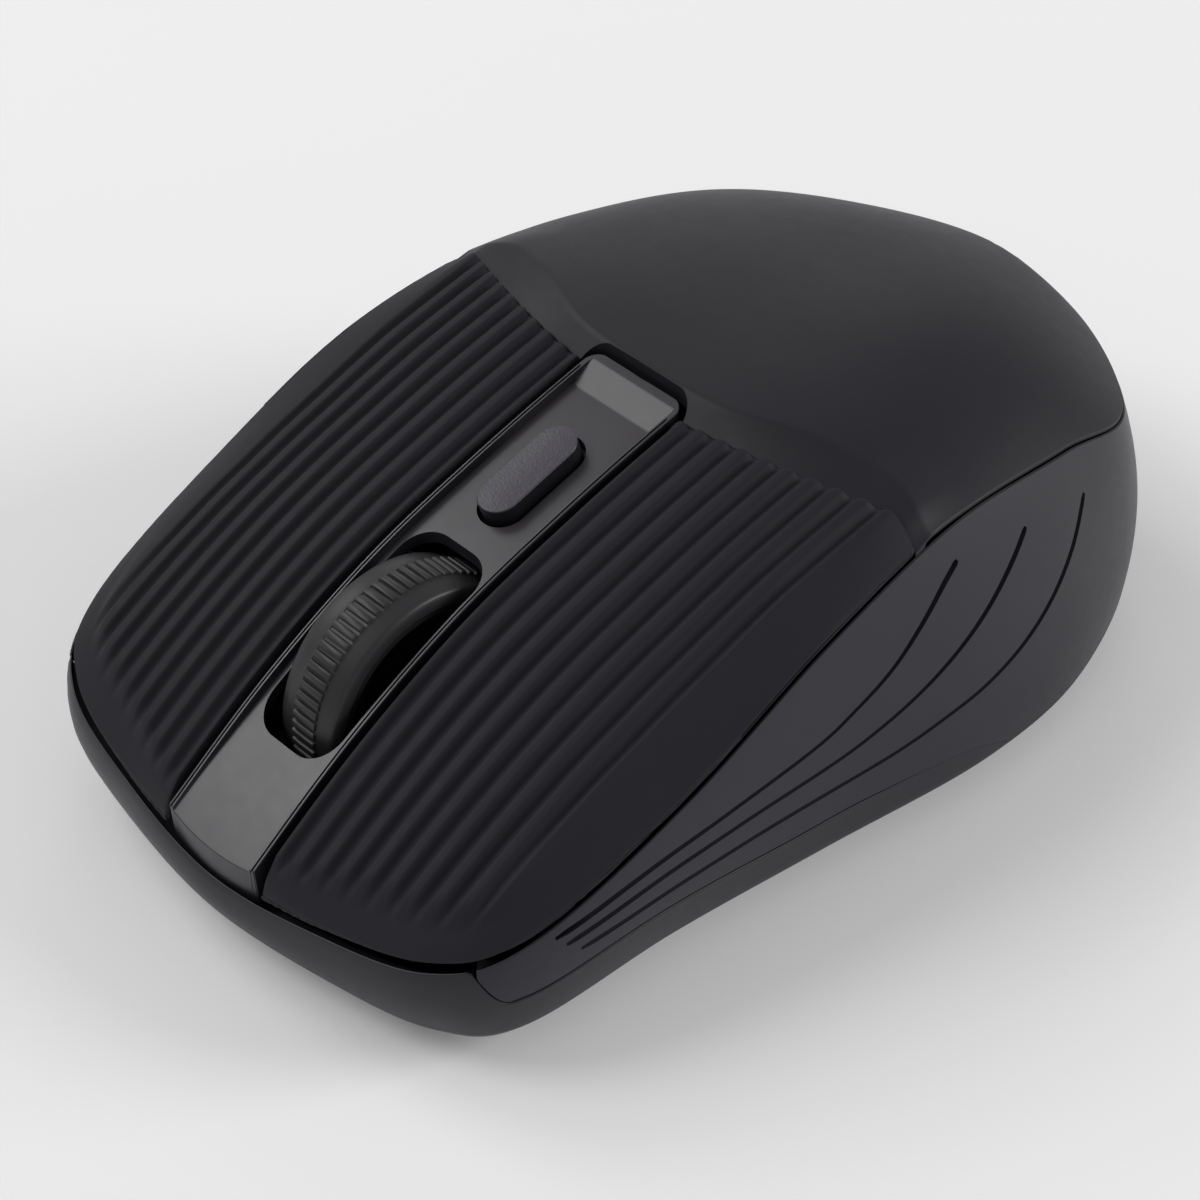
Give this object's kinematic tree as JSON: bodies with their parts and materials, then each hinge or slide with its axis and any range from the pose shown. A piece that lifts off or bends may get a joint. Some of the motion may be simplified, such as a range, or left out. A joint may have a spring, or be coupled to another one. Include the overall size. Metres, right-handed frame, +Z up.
{
  "type": "computer mouse",
  "caption": "Compact wireless mouse with two ribbed buttons, scroll wheel, DPI button and a rear palm cover over the battery bay, all on separate shells with real joints.",
  "frame": {"origin": "centre of the footprint, on the desk plane under the glides", "axes": "+Z up, nose toward -Y, tail toward +Y, +X toward the mouse's own left side"},
  "size_m": [0.0692, 0.1011, 0.0354],
  "materials": {
    "base_black": "black ABS, fine spark-eroded texture",
    "frame_grey": "dark grey ABS, smooth satin",
    "soft_touch": "soft-touch coated ABS",
    "button_black": "ribbed matte ABS",
    "strip_grey": "semi-gloss grey ABS",
    "dpi_grey": "textured ABS",
    "tyre_rubber": "moulded knurled rubber",
    "hub_black": "acetal",
    "steel": "plain steel",
    "inner_black": "unpolished ABS",
    "board_green": "solder mask",
    "part_black": "moulded epoxy",
    "plunger_cream": "acetal",
    "clear_lens": "clear polycarbonate",
    "led_red": "tinted epoxy",
    "can_metal": "drawn can",
    "cell_sleeve": "plain printed sleeve, no text",
    "wire_red": "PVC",
    "wire_black": "PVC",
    "glide_grey": "PTFE",
    "slider_grey": "ABS",
    "tongue_white": "LCP"
  },
  "bodies": {
    "housing": {"base_shell": "base_black", "side_frame": "frame_grey", "centre_strip": "strip_grey", "main_board": "board_green", "left_switch": "part_black", "right_switch": "part_black", "wheel_switch": "part_black", "encoder_emitter": "clear_lens", "encoder_detector": "part_black", "dpi_board": "board_green", "dpi_switch": "part_black", "sensor_chip": "part_black", "sensor_lens": "clear_lens", "sensor_led": "led_red", "radio_chip": "part_black", "crystal": "can_metal", "capacitor": "cell_sleeve", "power_switch": "can_metal", "battery_tray": "inner_black", "battery": "cell_sleeve", "battery_spring": "steel", "battery_tab": "steel", "positive_wire": "wire_red", "negative_wire": "wire_black", "receiver_cap": "part_black", "receiver_plug": "steel", "receiver_tongue": "tongue_white", "front_glide": "glide_grey", "rear_glide": "glide_grey", "case_screws": "steel", "board_screws": "steel", "strip_screw": "steel", "dpi_screws": "steel"},
    "left_button": {"left_button": "button_black"},
    "right_button": {"right_button": "button_black"},
    "left_plunger": {"left_plunger": "plunger_cream"},
    "right_plunger": {"right_plunger": "plunger_cream"},
    "dpi_button": {"dpi_button": "dpi_grey"},
    "dpi_plunger": {"dpi_plunger": "plunger_cream"},
    "wheel_carrier": {"wheel_carrier": "inner_black"},
    "wheel": {"wheel_tyre": "tyre_rubber", "wheel_hub": "hub_black", "wheel_axle": "steel"},
    "wheel_plunger": {"wheel_plunger": "plunger_cream"},
    "power_slider": {"power_slider": "slider_grey"},
    "palm_cover": {"palm_cover": "soft_touch"}
  },
  "joints": [
    {"name": "left_button_click", "type": "hinge", "parent": "housing", "child": "left_button", "pos_m": [0, 0.0035, 0.0272], "axis": [1, 0, 0], "range_deg": [0, 0.6], "stiffness_Nm_per_rad": 2, "springref_deg": -0.29},
    {"name": "right_button_click", "type": "hinge", "parent": "housing", "child": "right_button", "pos_m": [0, 0.0035, 0.0272], "axis": [1, 0, 0], "range_deg": [0, 0.6], "stiffness_Nm_per_rad": 2, "springref_deg": -0.29},
    {"name": "left_plunger_travel", "type": "slide", "parent": "housing", "child": "left_plunger", "axis": [0, 0, -1], "range_m": [0, 0.00041]},
    {"name": "right_plunger_travel", "type": "slide", "parent": "housing", "child": "right_plunger", "axis": [0, 0, -1], "range_m": [0, 0.00041]},
    {"name": "wheel_press", "type": "slide", "parent": "housing", "child": "wheel_carrier", "axis": [0, 0, -1], "range_m": [0, 0.0006], "stiffness_N_per_m": 1200, "springref_m": -0.0003},
    {"name": "wheel_spin", "type": "hinge", "parent": "wheel_carrier", "child": "wheel", "pos_m": [0, -0.0268, 0.016], "axis": [1, 0, 0], "continuous": true},
    {"name": "wheel_plunger_travel", "type": "slide", "parent": "housing", "child": "wheel_plunger", "axis": [0, 0, -1], "range_m": [0, 0.0006]},
    {"name": "dpi_press", "type": "slide", "parent": "housing", "child": "dpi_button", "axis": [0, 0.2756, -0.9613], "range_m": [0, 0.0005], "stiffness_N_per_m": 1000, "springref_m": -0.0003},
    {"name": "dpi_plunger_travel", "type": "slide", "parent": "housing", "child": "dpi_plunger", "axis": [0, 0.2756, -0.9613], "range_m": [0, 0.0005]},
    {"name": "power_slide", "type": "slide", "parent": "housing", "child": "power_slider", "axis": [0, 1, 0], "range_m": [0, 0.0025]},
    {"name": "palm_cover_slide", "type": "slide", "parent": "housing", "child": "palm_cover", "axis": [0, 0.9063, 0.4226], "range_m": [0, 0.032]}
  ],
  "couplings": [
    {"joint": "left_plunger_travel", "follows": "left_button_click", "m_per_rad": 0.039},
    {"joint": "right_plunger_travel", "follows": "right_button_click", "m_per_rad": 0.039},
    {"joint": "wheel_plunger_travel", "follows": "wheel_press", "ratio": 1},
    {"joint": "dpi_plunger_travel", "follows": "dpi_press", "ratio": 1}
  ]
}
